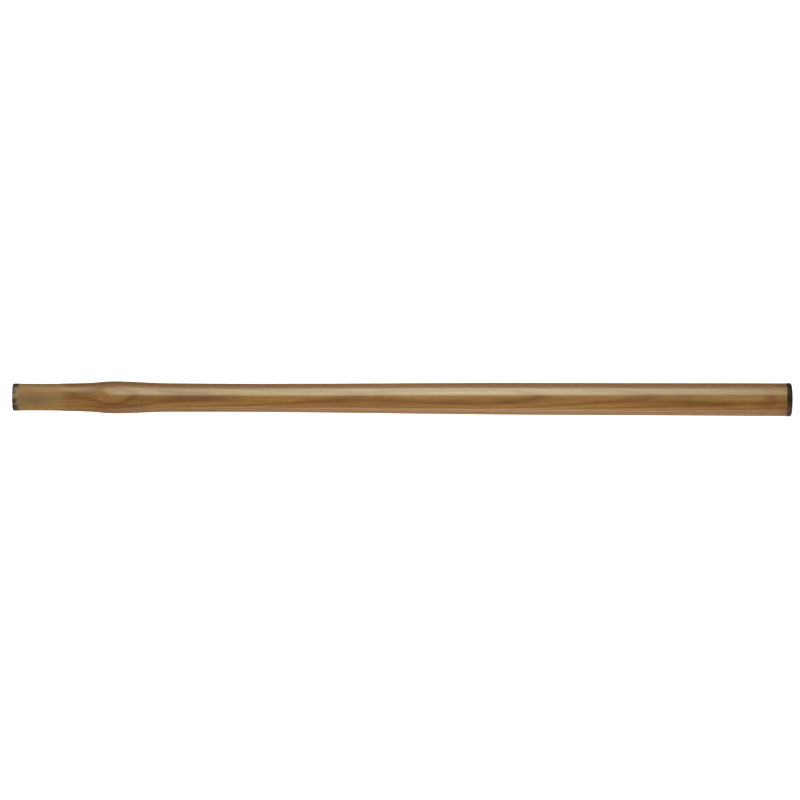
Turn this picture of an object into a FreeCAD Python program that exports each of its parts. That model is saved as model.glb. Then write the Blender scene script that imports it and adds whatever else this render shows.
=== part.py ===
"""Splitting maul handle: a straight 36 inch hickory handle for a 6 to 8 lb maul head, with no head fitted.

The handle is turned from one billet. From the eye end it has a flat-sided tenon that the head slides onto,
with a saw kerf for the wedge, then a taper and a swell that stop the head, a slim waist, and a shaft that
thickens into an oval grip with a square-cut butt. Both ends are dipped in a dark sealer that keeps the end
grain from drying out.

Frame, millimetres: the handle lies on its broad side. +X runs from the eye end to the butt, Y is across the
broad side, which is the section's height, and +Z is up, through its thickness. The origin is at the middle of
its length, on the surface that it lies on.
"""

import os

import FreeCAD
import Part
from FreeCAD import Vector
from math import cos, pi, sin

# Overall size. Heights are across the broad side, thicknesses through it.
handle_length = 914.4
tenon_height, tenon_thickness = 31.75, 23.8
neck_height, neck_thickness = 34.2, 28.6
swell_height, swell_thickness = 38.1, 32.4
waist_height, waist_thickness = 33.5, 28.4
grip_height, grip_thickness = 38.1, 31.75
butt_height, butt_thickness = 38.9, 32.4

# Lengthwise places, measured from the eye end, apart from the grip and the butt, which are measured from the
# butt end.
tenon_length = 40.0
taper_length = 60.0
swell_at = 122.0
swell_rise = 42.0
swell_fall = 54.0
waist_starts = 150.0
waist_reached = 250.0
grip_length = 274.0
butt_length = 12.0

# How square the oval is: 2 is an ellipse, and more has flatter sides.
tenon_squareness = 2.6
shaft_squareness = 2.15

# The saw cut for the wedge, across the whole height of the tenon, and the rounded edges of both ends.
kerf_width = 4.8
kerf_depth = 57.0
eye_edge_radius = 1.2
butt_edge_radius = 1.6

# The dip: how thick the dry film is, and how far it runs up the side from each end.
seal_thickness = 0.3
butt_seal_length = 6.5
eye_seal_length = 8.0

# How finely the surface is drawn: points round each oval, the spacing of the ovals along the handle, and the
# number of steps over a rounded edge.
points_per_oval = 32
oval_spacing = 10.0
edge_steps = 4

# How far a solid that cuts another runs past it.
clear_past = 30.0

eye_end = -handle_length / 2
butt_end = handle_length / 2
axis_z = max(swell_thickness / 2, grip_thickness / 2, butt_thickness / 2 + seal_thickness)


def blend(x, start, end):
    """0 before start and 1 after end, with a level run-in and run-out."""
    share = min(1.0, max(0.0, (x - start) / (end - start)))
    return share * share * (3 - 2 * share)


def outline(x, tenon, neck, swell, waist, grip, butt):
    """Height or thickness at x, from that size of each stretch of the handle."""
    from_eye = x - eye_end
    grip_starts = handle_length - grip_length
    size = tenon
    size += (neck - tenon) * blend(from_eye, tenon_length, tenon_length + taper_length)
    size += (waist - neck) * blend(from_eye, waist_starts, waist_reached)
    size += (grip - waist) * blend(from_eye, waist_reached, grip_starts)
    size += (butt - grip) * blend(from_eye, grip_starts, handle_length - butt_length)
    reach = swell_rise if from_eye < swell_at else swell_fall
    share = min(1.0, abs(from_eye - swell_at) / reach)
    return size + (swell - neck) * cos(share * pi / 2) ** 2


def height_at(x):
    return outline(x, tenon_height, neck_height, swell_height, waist_height, grip_height, butt_height)


def thickness_at(x):
    return outline(
        x, tenon_thickness, neck_thickness, swell_thickness, waist_thickness, grip_thickness, butt_thickness
    )


def squareness_at(x):
    share = blend(x - eye_end, tenon_length, tenon_length + taper_length)
    return tenon_squareness + (shaft_squareness - tenon_squareness) * share


def oval(x, grown=0.0):
    """The handle's section at x, a closed superellipse, with grown added all round."""
    half_height = height_at(x) / 2 + grown
    half_thickness = thickness_at(x) / 2 + grown
    square = squareness_at(x)
    turns = [i / points_per_oval for i in range(points_per_oval + 1)]
    points = []
    for turn in turns[:-1]:
        across, up = cos(2 * pi * turn), sin(2 * pi * turn)
        reach = (abs(across) ** square + abs(up) ** square) ** (-1 / square)
        points.append(Vector(x, half_height * reach * across, axis_z + half_thickness * reach * up))
    curve = Part.BSplineCurve()
    curve.interpolate(Points=points, Parameters=turns, PeriodicFlag=True)
    return Part.Wire(curve.toShape())


def moved_oval(section_at, x, grown):
    """The oval of one place, moved along the handle to x."""
    wire = oval(section_at, grown)
    wire.translate(Vector(x - section_at, 0, 0))
    return wire


def steps(start, end, spacing):
    """Evenly spaced places from start to end."""
    count = max(1, round((end - start) / spacing))
    return [start + (end - start) * i / count for i in range(count + 1)]


def sewn(*surfaces):
    """One closed solid from surfaces that meet at their edges."""
    faces = [face for surface in surfaces for face in surface.Faces]
    shell = Part.makeShell(faces)
    shell.sewShape()
    return Part.makeSolid(shell)


def skin(wires):
    """The smooth open surface through a few wires."""
    return Part.makeLoft(wires, False)


def long_skin(places):
    """The smooth open surface through ovals at many places: each pole of an oval runs on as a spline."""
    ovals = [oval(x).Edges[0].Curve for x in places]
    runs = []
    for poles in zip(*(curve.getPoles() for curve in ovals)):
        run = Part.BSplineCurve()
        run.interpolate(Points=list(poles), Parameters=places)
        runs.append(run)
    surface = Part.BSplineSurface()
    surface.buildFromPolesMultsKnots(
        [run.getPoles() for run in runs],
        ovals[0].getMultiplicities(),
        runs[0].getMultiplicities(),
        ovals[0].getKnots(),
        runs[0].getKnots(),
        True,
        False,
        ovals[0].Degree,
        runs[0].Degree,
    )
    return surface.toShape()


def edge_wires(end, outwards, radius, grown):
    """Ovals over the rounded edge of one end, from its side to its end face.

    outwards is 1 at the butt and -1 at the eye end.
    """
    wires = []
    for i in range(edge_steps + 1):
        angle = pi / 2 * i / edge_steps
        x = end + outwards * ((radius + grown) * sin(angle) - radius)
        wires.append(moved_oval(end, x, (radius + grown) * cos(angle) - radius))
    return wires


def turned():
    """The handle before the kerf is sawn."""
    places = steps(eye_end + tenon_length, butt_end - butt_length, oval_spacing)
    eye_edge = edge_wires(eye_end, -1, eye_edge_radius, 0)
    butt_edge = edge_wires(butt_end, 1, butt_edge_radius, 0)
    return sewn(
        Part.Face(eye_edge[-1]),
        skin(eye_edge),
        skin([eye_edge[0], oval(places[0])]),
        long_skin(places),
        skin([oval(places[-1]), butt_edge[0]]),
        skin(butt_edge),
        Part.Face(butt_edge[-1]),
    )


def kerf():
    """The slab that the saw takes out of the tenon, run past it on its three open sides."""
    length, height = clear_past + kerf_depth, clear_past + tenon_height + clear_past
    slab = Part.makeBox(length, height, kerf_width)
    slab.translate(Vector(eye_end - clear_past, -height / 2, axis_z - kerf_width / 2))
    return slab


def dipped_end(end, outwards, radius, length, grown):
    """The last stretch of the handle at one end as a solid of its own, with grown added all over."""
    edge = edge_wires(end, outwards, radius, grown)
    cut_off = moved_oval(end, end - outwards * length, grown)
    return sewn(Part.Face(cut_off), skin([cut_off, edge[0]]), skin(edge), Part.Face(edge[-1]))


def seal(end, outwards, radius, length):
    """The film on one end: a shallow cup over the side's last stretch, the rounded edge and the end face."""
    film_outside = dipped_end(end, outwards, radius, length, seal_thickness)
    wood = dipped_end(end, outwards, radius, length + clear_past, 0)
    return film_outside.cut(wood)


def make_handle():
    return turned().cut(kerf())


def make_butt_end_seal():
    return seal(butt_end, 1, butt_edge_radius, butt_seal_length)


def make_eye_end_seal():
    """The kerf parts the film into two halves, one on each cheek of the tenon."""
    return seal(eye_end, -1, eye_edge_radius, eye_seal_length).cut(kerf())


parts = {
    "handle": make_handle(),
    "butt_end_seal": make_butt_end_seal(),
    "eye_end_seal": make_eye_end_seal(),
}

os.makedirs("parts", exist_ok=True)
for name, shape in parts.items():
    shape.exportStep(f"parts/{name}.step")
    box = shape.optimalBoundingBox()
    print(f"{name}: {len(shape.Solids)} solids, valid {shape.isValid()}, {shape.Volume:.1f} mm3")
    print(f"  x {box.XMin:.2f} to {box.XMax:.2f}")
    print(f"  y {box.YMin:.2f} to {box.YMax:.2f}")
    print(f"  z {box.ZMin:.2f} to {box.ZMax:.2f}")
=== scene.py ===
"""A straight hickory handle for a splitting maul, lying on its broad side on a pale table.

The handle has no head on it. The eye end points along -X and the butt along +X, and Z is up.
"""

import math

import bmesh
import bpy
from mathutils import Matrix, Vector


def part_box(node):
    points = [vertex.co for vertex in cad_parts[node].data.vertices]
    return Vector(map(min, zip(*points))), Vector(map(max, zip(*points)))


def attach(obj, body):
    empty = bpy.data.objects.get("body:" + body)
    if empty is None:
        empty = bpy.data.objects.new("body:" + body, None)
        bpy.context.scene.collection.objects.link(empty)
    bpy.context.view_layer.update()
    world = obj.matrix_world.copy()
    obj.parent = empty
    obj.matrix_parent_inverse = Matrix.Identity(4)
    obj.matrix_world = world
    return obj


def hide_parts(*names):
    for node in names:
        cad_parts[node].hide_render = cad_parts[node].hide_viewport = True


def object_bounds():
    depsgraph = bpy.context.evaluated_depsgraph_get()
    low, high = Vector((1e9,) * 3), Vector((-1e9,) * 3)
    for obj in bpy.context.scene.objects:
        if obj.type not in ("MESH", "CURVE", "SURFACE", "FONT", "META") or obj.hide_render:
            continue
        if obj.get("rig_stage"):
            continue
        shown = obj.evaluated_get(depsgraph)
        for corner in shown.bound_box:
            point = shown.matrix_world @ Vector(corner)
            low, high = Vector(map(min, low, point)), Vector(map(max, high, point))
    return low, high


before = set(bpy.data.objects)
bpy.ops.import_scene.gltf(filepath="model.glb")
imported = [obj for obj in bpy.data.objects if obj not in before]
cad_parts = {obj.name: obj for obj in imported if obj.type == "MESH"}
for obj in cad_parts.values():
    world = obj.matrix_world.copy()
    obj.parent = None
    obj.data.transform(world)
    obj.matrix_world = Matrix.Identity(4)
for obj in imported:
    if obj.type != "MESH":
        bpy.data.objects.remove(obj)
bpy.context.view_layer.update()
bpy.ops.object.select_all(action="DESELECT")

# --------------------------------------------------------------------------------------------------------
# The handle: one billet of hickory, shaped on a copying lathe and belt sanded, with a flat-sided tenon for
# the head's eye, a swell that stops the head, a slim waist and an oval grip. It starts as a plain round
# tube, whose rings are then drawn to the oval that each place along the handle has.

MM = 0.001
wood_low, wood_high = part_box("handle")
eye_end, butt_end = wood_low.x, wood_high.x
handle_length = butt_end - eye_end
axis_z = (wood_low.z + wood_high.z) / 2

# Height across the broad side and thickness through it, of each stretch.
tenon_size = (31.75 * MM, 23.8 * MM)
neck_size = (34.2 * MM, 28.6 * MM)
swell_size = (38.1 * MM, 32.4 * MM)
waist_size = (33.5 * MM, 28.4 * MM)
grip_size = (38.1 * MM, 31.75 * MM)
butt_size = (wood_high.y - wood_low.y, wood_high.z - wood_low.z)

# Where the stretches change, from the eye end.
tenon_ends, neck_starts = 40 * MM, 100 * MM
swell_at, swell_rise, swell_fall = 122 * MM, 42 * MM, 54 * MM
neck_ends, waist_reached = 150 * MM, 250 * MM
grip_starts, butt_starts = handle_length - 274 * MM, handle_length - 12 * MM

# 2 is an ellipse, and more has flatter sides.
tenon_squareness, shaft_squareness = 2.6, 2.15


def blend(place, start, end):
    """0 before start and 1 after end, with a level run-in and run-out."""
    share = min(1.0, max(0.0, (place - start) / (end - start)))
    return share * share * (3 - 2 * share)


def size_at(place):
    """The height and thickness of the handle, this far from the eye end."""
    size = Vector(tenon_size)
    size += (Vector(neck_size) - Vector(tenon_size)) * blend(place, tenon_ends, neck_starts)
    size += (Vector(waist_size) - Vector(neck_size)) * blend(place, neck_ends, waist_reached)
    size += (Vector(grip_size) - Vector(waist_size)) * blend(place, waist_reached, grip_starts)
    size += (Vector(butt_size) - Vector(grip_size)) * blend(place, grip_starts, butt_starts)
    reach = swell_rise if place < swell_at else swell_fall
    share = min(1.0, abs(place - swell_at) / reach)
    return size + (Vector(swell_size) - Vector(neck_size)) * math.cos(share * math.pi / 2) ** 2


def squareness_at(place):
    share = blend(place, tenon_ends, neck_starts)
    return tenon_squareness + (shaft_squareness - tenon_squareness) * share


def only_select(vertices):
    """Leaves just these vertices of the mesh that is being edited selected."""
    bpy.ops.mesh.select_all(action="DESELECT")
    for vertex in vertices:
        vertex.select = True


ring_sides, ring_count = 32, 115
same_place = 0.01 * MM
smooth_below = math.radians(35)
# A subdivided ring lies a little inside its cage, so the cage is this much larger.
cage_grows = 3 / (2 + math.cos(math.tau / ring_sides))

bpy.ops.mesh.primitive_cylinder_add(
    vertices=ring_sides,
    radius=1,
    depth=handle_length,
    end_fill_type="NOTHING",
    location=((eye_end + butt_end) / 2, 0, axis_z),
    rotation=(0, math.tau / 4, 0),
)
handle = bpy.context.object
handle.name = "turned_handle"
bpy.ops.object.transform_apply()
bpy.ops.object.mode_set(mode="EDIT")
bpy.ops.mesh.select_mode(type="EDGE")
bpy.ops.mesh.select_all(action="DESELECT")
cage = bmesh.from_edit_mesh(handle.data)
for edge in cage.edges:
    edge.select = abs(edge.verts[0].co.x - edge.verts[1].co.x) > handle_length / 2
bpy.ops.mesh.subdivide(number_cuts=ring_count - 2)
bpy.ops.mesh.select_mode(type="VERT")

cage = bmesh.from_edit_mesh(handle.data)
ring_spacing = handle_length / (ring_count - 1)
spokes = {}
for vertex in cage.verts:
    ring = round((vertex.co.x - eye_end) / ring_spacing)
    # The four corners of the oval are alike, so their vertices are drawn out together.
    across, up = abs(vertex.co.y), abs(vertex.co.z - axis_z)
    turn = round(math.atan2(min(across, up), max(across, up)) / math.tau * ring_sides)
    spokes.setdefault((ring, turn), []).append(vertex)
for (ring, turn), vertices in spokes.items():
    place = ring * ring_spacing
    height, thickness = size_at(place)
    square = squareness_at(place)
    angle = turn * math.tau / ring_sides
    reach = cage_grows * (math.cos(angle) ** square + math.sin(angle) ** square) ** (-1 / square)
    only_select(vertices)
    bpy.ops.transform.resize(
        value=(1, height / 2 * reach, thickness / 2 * reach),
        center_override=(eye_end + place, 0, axis_z),
    )
bpy.ops.object.mode_set(mode="OBJECT")


def apply_modifier(piece, kind, **settings):
    """Adds a modifier to the piece with these settings and applies it."""
    bpy.context.view_layer.objects.active = piece
    bpy.ops.object.modifier_add(type=kind)
    modifier = piece.modifiers[-1]
    for name, value in settings.items():
        setattr(modifier, name, value)
    bpy.ops.object.modifier_apply(modifier=modifier.name)


apply_modifier(handle, "SUBSURF", levels=2, render_levels=2)

# The sander's long, shallow waves. They are too slight to see, but the gloss wavers with them.
sander_waves = bpy.data.textures.new("sander_waves", type="CLOUDS")
sander_waves.noise_scale = 60 * MM
sander_waves.noise_depth = 1
apply_modifier(
    handle,
    "DISPLACE",
    texture=sander_waves,
    texture_coords="LOCAL",
    strength=0.16 * MM,
    mid_level=0.9,
)


def close_end(piece, end_x, edge_radius):
    """Closes the open end of the tube at end_x, square to the handle, and rounds its edge."""
    bpy.ops.object.mode_set(mode="EDIT")
    bpy.ops.mesh.select_mode(type="VERT")
    mesh = bmesh.from_edit_mesh(piece.data)
    only_select([vertex for vertex in mesh.verts if abs(vertex.co.x - end_x) < 0.5 * MM])
    bpy.ops.transform.resize(value=(0, 1, 1), center_override=(end_x, 0, axis_z))
    bpy.ops.mesh.edge_face_add()
    bpy.ops.mesh.select_mode(type="EDGE")
    bpy.ops.mesh.select_all(action="DESELECT")
    mesh = bmesh.from_edit_mesh(piece.data)
    for edge in mesh.edges:
        edge.select = all(abs(vertex.co.x - end_x) < same_place for vertex in edge.verts)
    bpy.ops.mesh.bevel(offset=edge_radius, segments=4, affect="EDGES", clamp_overlap=True)
    bpy.ops.object.mode_set(mode="OBJECT")


close_end(handle, eye_end, 1.2 * MM)
close_end(handle, butt_end, 1.6 * MM)

# The kerf is a saw cut in the plane of the broad side, for the wedge that spreads the tenon in the head's
# eye. The slab that cuts it is higher than the tenon and starts a little before its end.
kerf_depth, kerf_width = 57 * MM, 4.8 * MM
saw_height, saw_starts_before = 60 * MM, 10 * MM


def kerf_saw():
    """A slab where the saw goes, which runs past the tenon on its three open sides."""
    bpy.ops.object.select_all(action="DESELECT")
    bpy.ops.mesh.primitive_cube_add(
        size=1,
        location=(eye_end + (kerf_depth - saw_starts_before) / 2, 0, axis_z),
        scale=(kerf_depth + saw_starts_before, saw_height, kerf_width),
    )
    bpy.ops.object.transform_apply()
    return bpy.context.object


saw = kerf_saw()
apply_modifier(handle, "BOOLEAN", object=saw, operation="DIFFERENCE", solver="EXACT")
bpy.data.objects.remove(saw)

bpy.ops.object.select_all(action="DESELECT")
handle.select_set(True)
bpy.context.view_layer.objects.active = handle
bpy.ops.object.shade_smooth_by_angle(angle=smooth_below)


def new_material(name):
    """A node material with no nodes in it yet, and its tree."""
    material = bpy.data.materials.new(name)
    material.use_nodes = True
    material.node_tree.nodes.clear()
    return material, material.node_tree


def linear(hex_colour):
    """An sRGB hex colour as linear red, green, blue and an alpha of 1."""
    shares = [int(hex_colour[i : i + 2], 16) / 255 for i in (1, 3, 5)]
    return [c / 12.92 if c <= 0.04045 else ((c + 0.055) / 1.055) ** 2.4 for c in shares] + [1.0]


def add(tree, kind, inputs=(), ramp=(), **settings):
    """Adds a node to the tree.

    Each input is a socket's name or number with its value, or with the socket that feeds it.
    """
    made = tree.nodes.new("ShaderNode" + kind)
    for name, value in settings.items():
        setattr(made, name, value)
    for socket, value in dict(inputs).items():
        if isinstance(value, bpy.types.NodeSocket):
            tree.links.new(value, made.inputs[socket])
        else:
            made.inputs[socket].default_value = value
    if ramp:
        stops = made.color_ramp.elements
        stops[0].position, stops[1].position = ramp[0][0], ramp[-1][0]
        stops[0].color, stops[1].color = linear(ramp[0][1]), linear(ramp[-1][1])
        for place, colour in ramp[1:-1]:
            stops.new(place).color = linear(colour)
    return made


def in_millimetres(tree):
    """The place on the object, in millimetres from its origin."""
    place = add(tree, "TexCoord").outputs["Object"]
    return add(tree, "Mapping", {"Vector": place, "Scale": (1000, 1000, 1000)}).outputs["Vector"]


# The billet's place in the tree and how its grain runs, in millimetres and radians. The grain wanders by
# up to this much across, over waves of this length.
ring_width = 2.4
pith_beside, pith_below = 6.0, 104.0
grain_slope = (0, 0.016, 0.006)
grain_wander = (0, 9, 8)
wander_length = (400, 90, 90)


def year_rings(tree, in_mm):
    """The place from the tree's pith, bent as the grain is, and the share of the year that it grew in."""
    long_waves = add(tree, "Mapping", {"Vector": in_mm, "Scale": [1 / length for length in wander_length]})
    wander = add(tree, "TexNoise", {"Vector": long_waves.outputs["Vector"], "Scale": 1.0, "Detail": 2})
    from_pith = add(
        tree,
        "Mapping",
        {"Vector": in_mm, "Location": (0, pith_beside, pith_below - axis_z / MM), "Rotation": grain_slope},
    )
    bent = add(
        tree,
        "VectorMath",
        {0: wander.outputs["Color"], 1: grain_wander, 2: from_pith.outputs["Vector"]},
        operation="MULTIPLY_ADD",
    ).outputs["Vector"]
    rings = add(
        tree,
        "TexWave",
        {
            "Vector": bent,
            "Scale": math.tau / 20 / ring_width,
            "Distortion": 0.9,
            "Detail": 2,
            "Detail Scale": 0.25,
        },
        wave_type="RINGS",
        rings_direction="X",
        wave_profile="SAW",
    )
    return bent, rings.outputs["Fac"]


def stain_and_shade_patch(tree, in_mm, centre, reach):
    """1 at the centre of a patch, falling to 0 at its reach, both (x, y, z) in millimetres. It draws stains
    in the wood, and patches of painted shade too.
    """
    scale = [1 / length for length in reach]
    location = [-place * share for place, share in zip(centre, scale)]
    nearness = add(tree, "Mapping", {"Vector": in_mm, "Location": location, "Scale": scale})
    ball = add(tree, "TexGradient", {"Vector": nearness.outputs["Vector"]}, gradient_type="SPHERICAL")
    return ball.outputs["Fac"]


# Hickory is ring-porous, and this billet is flat sawn on its broad side: each year starts with a band of
# large open pores and ends in dense, smooth latewood. Clear lacquer deepens it to amber. Every pattern is
# cut from the solid, so arches, straight edge grain and end-grain rings follow from the same rings round
# the tree's pith.
material, tree = new_material("lacquered_hickory")
in_mm = in_millimetres(tree)
bent, year = year_rings(tree, in_mm)
along_fibre = add(tree, "Mapping", {"Vector": bent, "Scale": (1 / 40, 1, 1)}).outputs["Vector"]
fibre = add(tree, "TexNoise", {"Vector": along_fibre, "Scale": 1.1, "Detail": 4, "Roughness": 0.65})
drift = add(tree, "TexNoise", {"Vector": along_fibre, "Scale": 0.11, "Detail": 2})
ring_colour = add(
    tree,
    "ValToRGB",
    {"Fac": year},
    ramp=((0.0, "#875B25"), (0.12, "#8F652B"), (0.35, "#A67C3D"), (0.8, "#A07538"), (0.98, "#8E632A")),
)
drift_share = add(
    tree, "MapRange", {"Value": drift.outputs["Fac"], "From Min": 0.35, "From Max": 0.7, "To Max": 0.5}
)
drifted = add(
    tree,
    "Mix",
    {0: drift_share.outputs[0], 6: ring_colour.outputs["Color"], 7: linear("#88571F")},
    data_type="RGBA",
)
fibre_shade = add(
    tree,
    "ValToRGB",
    {"Fac": fibre.outputs["Fac"]},
    ramp=((0.3, "#D8D2CA"), (0.5, "#F4F2F0"), (0.7, "#FFFFFF")),
)
fibred = add(
    tree,
    "Mix",
    {0: 1.0, 6: drifted.outputs[2], 7: fibre_shade.outputs["Color"]},
    data_type="RGBA",
    blend_type="MULTIPLY",
)
# Dark mineral streaks come and go along the heart of the billet, a few centimetres long each.
spread = add(tree, "SeparateXYZ", {0: in_mm})
along = add(
    tree,
    "MapRange",
    {"Value": spread.outputs["X"], "From Min": eye_end / MM, "From Max": butt_end / MM},
)
streak_along = add(
    tree,
    "ValToRGB",
    {"Fac": along.outputs[0]},
    ramp=(
        (0.0, "#505050"),
        (0.03, "#FFFFFF"),
        (0.06, "#C0C0C0"),
        (0.09, "#303030"),
        (0.12, "#404040"),
        (0.175, "#FFFFFF"),
        (0.26, "#F0F0F0"),
        (0.3, "#505050"),
        (0.37, "#606060"),
        (0.42, "#F8F8F8"),
        (0.45, "#606060"),
        (0.48, "#C8C8C8"),
        (0.51, "#505050"),
        (0.58, "#E0E0E0"),
        (0.61, "#909090"),
        (0.64, "#FFFFFF"),
        (0.68, "#505050"),
        (0.79, "#707070"),
        (0.86, "#FFFFFF"),
        (0.91, "#FFFFFF"),
        (0.94, "#A0A0A0"),
        (0.972, "#FFFFFF"),
        (0.99, "#303030"),
    ),
)
streak_beside, streak_reach = 1.0, 6.0
bent_spread = add(tree, "SeparateXYZ", {0: bent})
heart_y = pith_beside + streak_beside
from_heart = add(tree, "Math", {0: bent_spread.outputs["Y"], 1: heart_y}, operation="SUBTRACT")
beside_heart = add(tree, "Math", {0: from_heart.outputs[0]}, operation="ABSOLUTE")
streak_across = add(
    tree,
    "MapRange",
    {"Value": beside_heart.outputs[0], "From Min": 0.5, "From Max": streak_reach, "To Min": 1, "To Max": 0},
    interpolation_type="SMOOTHSTEP",
)
streak = add(
    tree, "Math", {0: streak_along.outputs["Color"], 1: streak_across.outputs[0]}, operation="MULTIPLY"
)
streak_share = add(tree, "Math", {0: streak.outputs[0], 1: 0.5}, operation="MULTIPLY")
streaked = add(
    tree,
    "Mix",
    {0: streak_share.outputs[0], 6: fibred.outputs[2], 7: linear("#5A330E")},
    data_type="RGBA",
)
# A reddish fleck of heartwood lies near the butt. The grey-brown patch on the -Y side of the tenon and the
# brown one on the -Y side of the swell are painted shade. The sealer has crept a little way along the pores
# beyond its edge: all round at the butt, and at the eye end in a patch that is also painted shade, darker
# towards -Y. Each stain has its centre, its reach, its colour and how strong it is.
stains_and_painted_shade = streaked.outputs[2]
for centre, reach, colour, depth in (
    ((butt_end / MM - 24, 3.0, 33.0), (16, 9, 14), "#703510", 0.75),
    # Painted shade: a grey-brown patch, darker on the -Y side of the tenon.
    ((eye_end / MM + 27, -4.5, 27.0), (36, 10, 16), "#443418", 1.0),
    # Painted shade: a brown patch, darker on the -Y side of the swell.
    ((eye_end / MM + 127, -9.5, 30.0), (48, 6, 14), "#5A3812", 0.7),
    # Sealer crept along the pores here, and the patch is also painted shade, darker towards -Y.
    ((eye_end / MM + 5, -12.0, 18.0), (15, 16, 26), "#3A3424", 0.6),
    ((butt_end / MM - 4, 0.0, 16.5), (18, 30, 26), "#4E3519", 0.9),
):
    stain_and_shade_share = add(tree, "Math", {0: stain_and_shade_patch(tree, in_mm, centre, reach), 1: depth}, operation="MULTIPLY")
    stains_and_painted_shade = add(
        tree, "Mix", {0: stain_and_shade_share.outputs[0], 6: stains_and_painted_shade, 7: linear(colour)}, data_type="RGBA"
    ).outputs[2]
# A pore is about 0.3 mm across and shows as a dark dash up to 10 mm long, and only in the year's first
# third. It is drawn twice as wide, so that it shows.
pore_spacing = (11, 0.75, 0.75)
pore_place = add(tree, "Mapping", {"Vector": bent, "Scale": [1 / length for length in pore_spacing]})
pore_cells = add(tree, "TexVoronoi", {"Vector": pore_place.outputs["Vector"], "Scale": 1.0})
pore_core = add(
    tree,
    "MapRange",
    {"Value": pore_cells.outputs["Distance"], "From Min": 0.22, "From Max": 0.4, "To Min": 1, "To Max": 0},
)
early = add(tree, "MapRange", {"Value": year, "From Min": 0.1, "From Max": 0.4, "To Min": 1, "To Max": 0.12})
pores = add(tree, "Math", {0: pore_core.outputs[0], 1: early.outputs[0]}, operation="MULTIPLY")
pore_share = add(tree, "Math", {0: pores.outputs[0], 1: 0.4}, operation="MULTIPLY")
wood = add(tree, "Mix", {0: pore_share.outputs[0], 6: stains_and_painted_shade, 7: linear("#4A2E14")}, data_type="RGBA")
# The lacquer stops short of the tenon, which has to grip the head's eye. Bare wood is paler, greyer and
# dull.
bare_until, lacquered_from = 48, 68
bare = add(
    tree,
    "MapRange",
    {
        "Value": spread.outputs["X"],
        "From Min": eye_end / MM + bare_until,
        "From Max": eye_end / MM + lacquered_from,
        "To Min": 1.0,
        "To Max": 0.0,
    },
    interpolation_type="SMOOTHSTEP",
)
bare_share = add(tree, "Math", {0: bare.outputs[0], 1: 0.35}, operation="MULTIPLY")
finished = add(
    tree,
    "Mix",
    {0: bare_share.outputs[0], 6: wood.outputs[2], 7: linear("#B0966A")},
    data_type="RGBA",
)
lacquer_share = add(tree, "MapRange", {"Value": bare.outputs[0], "To Min": 1.0, "To Max": 0.3})
wood_rough = add(tree, "MapRange", {"Value": bare.outputs[0], "To Min": 0.5, "To Max": 0.7})
relief = add(tree, "Math", {0: fibre.outputs["Fac"], 1: 0.3, 2: 0.0}, operation="MULTIPLY_ADD")
dips = add(tree, "Math", {0: relief.outputs[0], 1: pores.outputs[0]}, operation="SUBTRACT")
wood_relief, lacquer_relief = 0.08 * MM, 0.03 * MM
wood_bump = add(tree, "Bump", {"Height": dips.outputs[0], "Strength": 0.5, "Distance": wood_relief})
lacquer_bump = add(tree, "Bump", {"Height": dips.outputs[0], "Strength": 0.25, "Distance": lacquer_relief})
shader = add(
    tree,
    "BsdfPrincipled",
    {
        "Base Color": finished.outputs[2],
        "Roughness": wood_rough.outputs[0],
        "Specular IOR Level": 0.25,
        "Normal": wood_bump.outputs["Normal"],
        "Coat Weight": lacquer_share.outputs[0],
        "Coat Roughness": 0.12,
        "Coat Normal": lacquer_bump.outputs["Normal"],
    },
)
add(tree, "OutputMaterial", {"Surface": shader.outputs["BSDF"]})
handle.data.materials.clear()
handle.data.materials.append(material)
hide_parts("handle")
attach(handle, "root")

# --------------------------------------------------------------------------------------------------------
# The butt's seal: a film of dark brown sealer that the end was dipped in, which keeps the end grain from
# drying out and splitting. It is 0.3 mm thick, follows the rounded edge and stops up the side in a
# slightly uneven line.

film_thickness = 0.28 * MM
# The film feathers out to this share of its thickness over its last stretch.
feathered, feather_length = 0.3, 0.8 * MM
# The wavering edge starts this far inside the film's furthest reach.
inside_edge = 0.1 * MM


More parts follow.
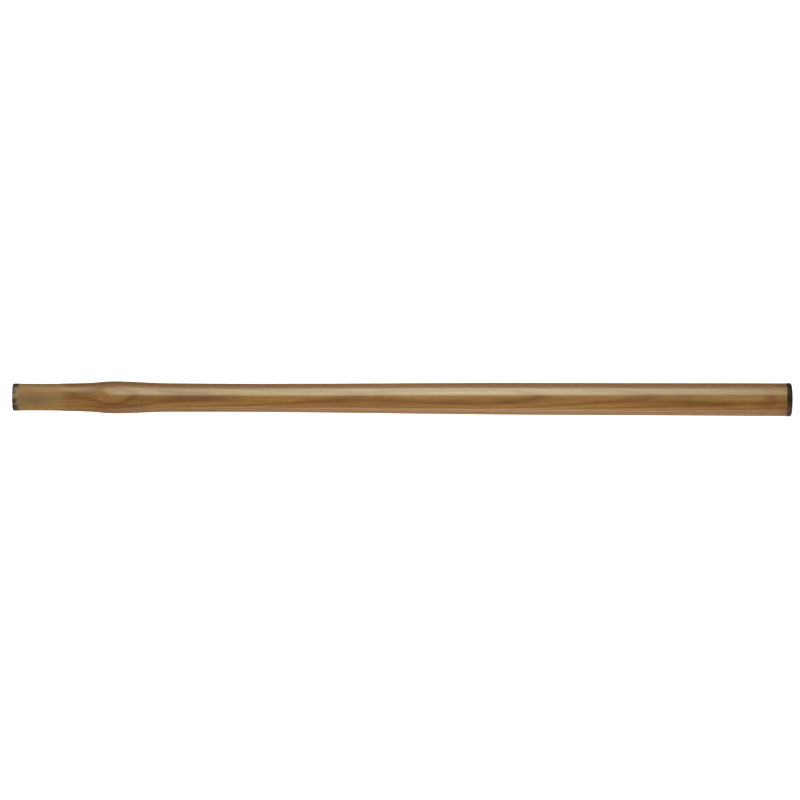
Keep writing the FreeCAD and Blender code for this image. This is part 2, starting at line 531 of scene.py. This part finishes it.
def dipped_film(name, edge, outwards, waver, turn):
    """The wood's surface from the film's edge to the end, made a thin skin that stands proud of the wood.

    edge is the x where it stops, outwards is 1 at the butt and -1 at the eye end, waver is how far the line
    of the edge strays, and turn is where round the handle its runs fall.
    """
    bpy.ops.object.select_all(action="DESELECT")
    handle.select_set(True)
    bpy.context.view_layer.objects.active = handle
    bpy.ops.object.duplicate()
    film = bpy.context.object
    film.name = name
    for key in list(film.keys()):
        if key.startswith("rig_"):
            del film[key]
    bpy.ops.object.mode_set(mode="EDIT")
    bpy.ops.mesh.select_mode(type="FACE")
    bpy.ops.mesh.select_all(action="SELECT")
    bpy.ops.mesh.bisect(plane_co=(edge, 0, 0), plane_no=(outwards, 0, 0), clear_inner=True)
    bpy.ops.mesh.select_all(action="SELECT")
    bpy.ops.mesh.bisect(plane_co=(edge + outwards * feather_length, 0, 0), plane_no=(outwards, 0, 0))
    bpy.ops.mesh.select_all(action="DESELECT")
    mesh = bmesh.from_edit_mesh(film.data)
    for face in mesh.faces:
        in_kerf = all(abs(vertex.co.z - axis_z) < kerf_width / 2 + same_place for vertex in face.verts)
        face.select = in_kerf and abs(face.normal.z) > 0.9
    bpy.ops.mesh.delete(type="FACE")
    bpy.ops.mesh.select_mode(type="VERT")
    mesh = bmesh.from_edit_mesh(film.data)
    ends_here = [vertex for vertex in mesh.verts if abs(vertex.co.x - edge) < same_place]
    for vertex in ends_here:
        angle = math.atan2(vertex.co.z - axis_z, vertex.co.y) + turn
        strays = 0.5 * math.sin(2 * angle) + 0.3 * math.sin(5 * angle + 1) + 0.2 * math.sin(11 * angle + 2)
        only_select([vertex])
        bpy.ops.transform.translate(value=(outwards * waver * (strays + 0.5) / 2, 0, 0))
    bpy.ops.mesh.select_all(action="SELECT")
    for vertex in ends_here:
        vertex.select = False
    bpy.context.view_layer.objects.active = film
    bpy.ops.object.vertex_group_add()
    bpy.ops.object.vertex_group_assign()
    bpy.ops.object.mode_set(mode="OBJECT")
    apply_modifier(
        film,
        "SOLIDIFY",
        thickness=film_thickness,
        offset=1.0,
        use_even_offset=False,
        vertex_group=film.vertex_groups[0].name,
        thickness_vertex_group=feathered,
    )
    bpy.ops.object.select_all(action="DESELECT")
    film.select_set(True)
    bpy.ops.object.shade_smooth_by_angle(angle=smooth_below)
    return film


def dark_sealer(name, thick_colour, thin_colour, edge, fades_over, painted_shade_across):
    """Wax-based end sealer: nearly black where it is thick, and browner where the wood shows.

    edge is the x of its edge in millimetres, and it thins out to there over fades_over. The last argument
    has the painted light and shade across the broad side, from -Y to +Y: black is darkest.
    """
    material, tree = new_material(name)
    in_mm = in_millimetres(tree)
    year = year_rings(tree, in_mm)[1]
    # Runs of sealer are about 9 mm long and 4 mm wide.
    runs_place = add(tree, "Mapping", {"Vector": in_mm, "Scale": (1 / 9, 1 / 4, 1 / 4)})
    runs = add(tree, "TexNoise", {"Vector": runs_place.outputs["Vector"], "Scale": 1.0, "Detail": 3})
    spread = add(tree, "SeparateXYZ", {0: in_mm})
    from_middle = add(tree, "Math", {0: spread.outputs["X"]}, operation="ABSOLUTE")
    run_out = add(
        tree,
        "MapRange",
        {
            "Value": from_middle.outputs[0],
            "From Min": abs(edge),
            "From Max": abs(edge) + fades_over,
            "To Min": 0.15,
            "To Max": -0.2,
        },
    )
    thinned = add(tree, "Math", {0: runs.outputs["Fac"], 1: run_out.outputs[0]}, operation="ADD")
    # Painted light and shade across the broad side, added to the sealer's real thin runs.
    across = add(tree, "MapRange", {"Value": spread.outputs["Y"], "From Min": -19.5, "From Max": 19.5})
    painted_shade = add(tree, "ValToRGB", {"Fac": across.outputs[0]}, ramp=painted_shade_across)
    thinness_and_painted_shade = add(tree, "Math", {0: thinned.outputs[0], 1: painted_shade.outputs["Color"]}, operation="ADD")
    ridged = add(tree, "Math", {0: year, 1: 0.12, 2: thinness_and_painted_shade.outputs[0]}, operation="MULTIPLY_ADD")
    colour = add(
        tree,
        "ValToRGB",
        {"Fac": ridged.outputs[0]},
        ramp=((0.42, thick_colour), (0.85, thin_colour)),
    )
    # It dries with a low relief, 1.6 mm from lump to lump, and sinks a little over each year's soft wood.
    peel = add(tree, "TexNoise", {"Vector": in_mm, "Scale": 1 / 1.6, "Detail": 1})
    lumps = add(tree, "Math", {0: year, 1: 0.6, 2: peel.outputs["Fac"]}, operation="MULTIPLY_ADD")
    bump = add(tree, "Bump", {"Height": lumps.outputs[0], "Strength": 0.6, "Distance": 0.08 * MM})
    duller = add(
        tree,
        "MapRange",
        {"Value": thinness_and_painted_shade.outputs[0], "From Min": 0.2, "From Max": 1.0, "To Min": 0.48, "To Max": 0.66},
    )
    shader = add(
        tree,
        "BsdfPrincipled",
        {
            "Base Color": colour.outputs["Color"],
            "Roughness": duller.outputs[0],
            "Specular IOR Level": 0.2,
            "Normal": bump.outputs["Normal"],
        },
    )
    add(tree, "OutputMaterial", {"Surface": shader.outputs["BSDF"]})
    return material


butt_film_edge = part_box("butt_end_seal")[0].x
butt_film = dipped_film("butt_film", butt_film_edge + inside_edge, 1, 0.8 * MM, 0.7)
butt_film.data.materials.clear()
# Painted light and shade across the butt's sealer: lighter towards -Y and darker towards +Y.
butt_painted_shade_across = (
    (0.0, "#BCBCBC"),
    (0.22, "#B0B0B0"),
    (0.4, "#8A8A8A"),
    (0.6, "#404040"),
    (1.0, "#404040"),
)
butt_sealer = dark_sealer("butt_sealer", "#150D06", "#4E3E25", butt_film_edge / MM, 1.6, butt_painted_shade_across)
butt_film.data.materials.append(butt_sealer)
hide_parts("butt_end_seal")
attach(butt_film, "root")

# --------------------------------------------------------------------------------------------------------
# The eye end's seal: a thinner coat of the same sealer on the tenon's end. The end grain has drunk part of
# it, so the wood shows through in places. The kerf was sawn through it, which parts it into two halves.

eye_film_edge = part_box("eye_end_seal")[1].x
eye_film = dipped_film("eye_film", eye_film_edge - inside_edge, -1, 1.2 * MM, 2.4)
eye_film.data.materials.clear()
# Painted light and shade across the eye end's sealer: darker towards -Y and +Y, and lighter on the crown
# between.
eye_painted_shade_across = (
    (0.0, "#303030"),
    (0.33, "#505050"),
    (0.45, "#808080"),
    (0.56, "#B8B8B8"),
    (0.68, "#AAAAAA"),
    (0.8, "#303030"),
    (1.0, "#000000"),
)
eye_sealer = dark_sealer("eye_sealer", "#38322A", "#8E7F64", eye_film_edge / MM, 6.5, eye_painted_shade_across)
eye_film.data.materials.append(eye_sealer)
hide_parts("eye_end_seal")
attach(eye_film, "root")

# --------------------------------------------------------------------------------------------------------
# The table, the soft lights, the pale wall and the camera. The table is a sheet of white board, which
# glows a little so that it stays pale under the handle.

table_size = 12
bpy.ops.object.select_all(action="DESELECT")
bpy.ops.mesh.primitive_plane_add(size=table_size)
table = bpy.context.object
table.name = "table"
material, tree = new_material("white_table")
paper = add(
    tree,
    "BsdfPrincipled",
    {
        "Base Color": linear("#F2F2EE"),
        "Roughness": 0.9,
        "Emission Color": (1, 1, 1, 1),
        "Emission Strength": 0.9,
    },
)
add(tree, "OutputMaterial", {"Surface": paper.outputs["BSDF"]})
table.data.materials.append(material)
table.visible_glossy = False
table.visible_diffuse = False
table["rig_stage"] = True


def lit_only(thing, lights):
    """The camera doesn't see this piece of the stage, and it lights only the "body" or only the "gloss"."""
    thing.visible_camera = False
    thing.visible_shadow = False
    thing.visible_diffuse = lights == "body"
    thing.visible_glossy = lights == "gloss"
    thing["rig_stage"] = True


def table_glow(name, near, far, lights):
    """What the table sends up: near on the side towards -Y, and far, dimmer, on the other."""
    bpy.ops.object.select_all(action="DESELECT")
    bpy.ops.mesh.primitive_plane_add(size=table_size, location=(0, 0, -0.5 * MM))
    sheet = bpy.context.object
    sheet.name = name
    bpy.ops.object.transform_apply()
    material, tree = new_material(name)
    place = add(tree, "SeparateXYZ", {0: add(tree, "TexCoord").outputs["Object"]})
    side = add(
        tree,
        "MapRange",
        {"Value": place.outputs["Y"], "From Min": -0.02, "From Max": 0.02, "To Min": near, "To Max": far},
    )
    along = add(tree, "Math", {0: place.outputs["X"], 1: 0.12}, operation="SUBTRACT")
    away = add(tree, "Math", {0: along.outputs[0]}, operation="ABSOLUTE")
    fade = add(
        tree,
        "MapRange",
        {"Value": away.outputs[0], "From Min": 0.1, "From Max": 0.65, "To Min": 1.0, "To Max": 0.45},
        interpolation_type="SMOOTHSTEP",
    )
    strength = add(tree, "Math", {0: side.outputs[0], 1: fade.outputs[0]}, operation="MULTIPLY")
    glow = add(tree, "Emission", {"Color": linear("#FFFBF4"), "Strength": strength.outputs[0]})
    add(tree, "OutputMaterial", {"Surface": glow.outputs[0]})
    sheet.data.materials.append(material)
    lit_only(sheet, lights)


table_glow("table_in_the_gloss", 0.45, 0.3, "gloss")
table_glow("table_bounce", 1.8, 0.8, "body")


def soft_panel(name, low, high, length, strength, fade, colour, lights, across, middle=0.0, turn=0.0):
    """A long panel of light beside the handle, from its low edge to its high edge, each (y, z).

    It fades to this share of its strength at both ends, and across has its shades from the low edge to the
    high one. lights is "body" or "gloss", middle is where along X it stands, and turn is how far round Z.
    """
    bpy.ops.object.select_all(action="DESELECT")
    bpy.ops.mesh.primitive_plane_add(size=1)
    panel = bpy.context.object
    panel.name = name
    run = Vector((high[0] - low[0], high[1] - low[1]))
    bpy.ops.transform.resize(value=(length, run.length, 1))
    tilt = math.atan2(run.y, run.x)
    panel.rotation_euler = (tilt, 0, turn)
    panel.location = (middle, (low[0] + high[0]) / 2, (low[1] + high[1]) / 2)
    bpy.ops.object.transform_apply()
    material, tree = new_material(name)
    place = add(tree, "SeparateXYZ", {0: add(tree, "TexCoord").outputs["Object"]})
    along = add(tree, "Math", {0: place.outputs["X"], 1: middle}, operation="SUBTRACT")
    away = add(tree, "Math", {0: along.outputs[0]}, operation="ABSOLUTE")
    bright = add(
        tree,
        "MapRange",
        {"Value": away.outputs[0], "From Max": length / 2, "To Min": strength, "To Max": strength * fade},
        interpolation_type="SMOOTHSTEP",
    )
    risen = add(tree, "MapRange", {"Value": place.outputs["Z"], "From Min": low[1], "From Max": high[1]})
    shade = add(tree, "ValToRGB", {"Fac": risen.outputs[0]}, ramp=across)
    lit = add(tree, "Math", {0: bright.outputs[0], 1: shade.outputs["Color"]}, operation="MULTIPLY")
    glow = add(tree, "Emission", {"Color": linear(colour), "Strength": lit.outputs[0]})
    add(tree, "OutputMaterial", {"Surface": glow.outputs[0]})
    panel.data.materials.append(material)
    lit_only(panel, lights)


even = ((0.0, "#FFFFFF"), (1.0, "#FFFFFF"))
soft_edges = ((0.0, "#707070"), (0.12, "#FFFFFF"), (0.82, "#FFFFFF"), (1.0, "#606060"))
low_glow = ((0.0, "#FFFFFF"), (0.35, "#D4D4D4"), (1.0, "#000000"))
soft_panel(
    "key_in_the_gloss", (1.25, 0.44), (0.43, 1.6), 1.5, 6.6, 0.35, "#F4FFE4", "gloss", soft_edges, 0.08, 0.3
)
soft_panel("rim_in_the_gloss", (1.5, 0.02), (1.25, 0.42), 1.8, 1.3, 0.5, "#F4FFF0", "gloss", even)
soft_panel("key_panel", (1.1, 0.75), (0.35, 1.6), 1.6, 2.7, 0.5, "#FFF8EC", "body", even)
soft_panel("ceiling_panel", (-1.4, 0.9), (0.3, 1.7), 2.4, 1.1, 0.8, "#FFF8EC", "body", even)
soft_panel(
    "fill_in_the_gloss", (-1.3, 0.02), (-1.1, 0.9), 1.6, 2.6, 0.12, "#FFFAF4", "gloss", low_glow, 0.17
)
soft_panel("fill_panel", (-1.3, 0.02), (-1.1, 0.8), 1.5, 3.6, 0.1, "#FFF8EC", "body", even, 0.15)

# The pale wall of the room, which only the camera sees.
bpy.ops.object.select_all(action="DESELECT")
bpy.ops.mesh.primitive_uv_sphere_add(radius=8)
wall = bpy.context.object
wall.name = "pale_wall"
material, tree = new_material("pale_wall")
glow = add(tree, "Emission", {"Color": linear("#F4F4F2"), "Strength": 1.0})
add(tree, "OutputMaterial", {"Surface": glow.outputs[0]})
wall.data.materials.append(material)
wall.visible_diffuse = False
wall.visible_glossy = False
wall.visible_shadow = False
wall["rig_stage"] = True

world = bpy.data.worlds.new("studio")
world.use_nodes = True
world.node_tree.nodes["Background"].inputs["Color"].default_value = (1, 1, 1, 1)
world.node_tree.nodes["Background"].inputs["Strength"].default_value = 0.1
bpy.context.scene.world = world
bpy.context.scene.view_settings.view_transform = "Standard"

low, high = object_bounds()
camera_data = bpy.data.cameras.new("camera")
camera_data.lens = 135
camera_data.sensor_width = 36
camera = bpy.data.objects.new("camera", camera_data)
bpy.context.scene.collection.objects.link(camera)
frame_width = 0.9365
aim_left, aim_down = 2.5 * MM, 1.9 * MM
camera_height = frame_width * camera_data.lens / camera_data.sensor_width
camera.location = (
    (low.x + high.x) / 2 - aim_left,
    (low.y + high.y) / 2 - aim_down,
    high.z + camera_height,
)
camera.rotation_euler = (0, 0, math.radians(0.2))
bpy.context.scene.camera = camera
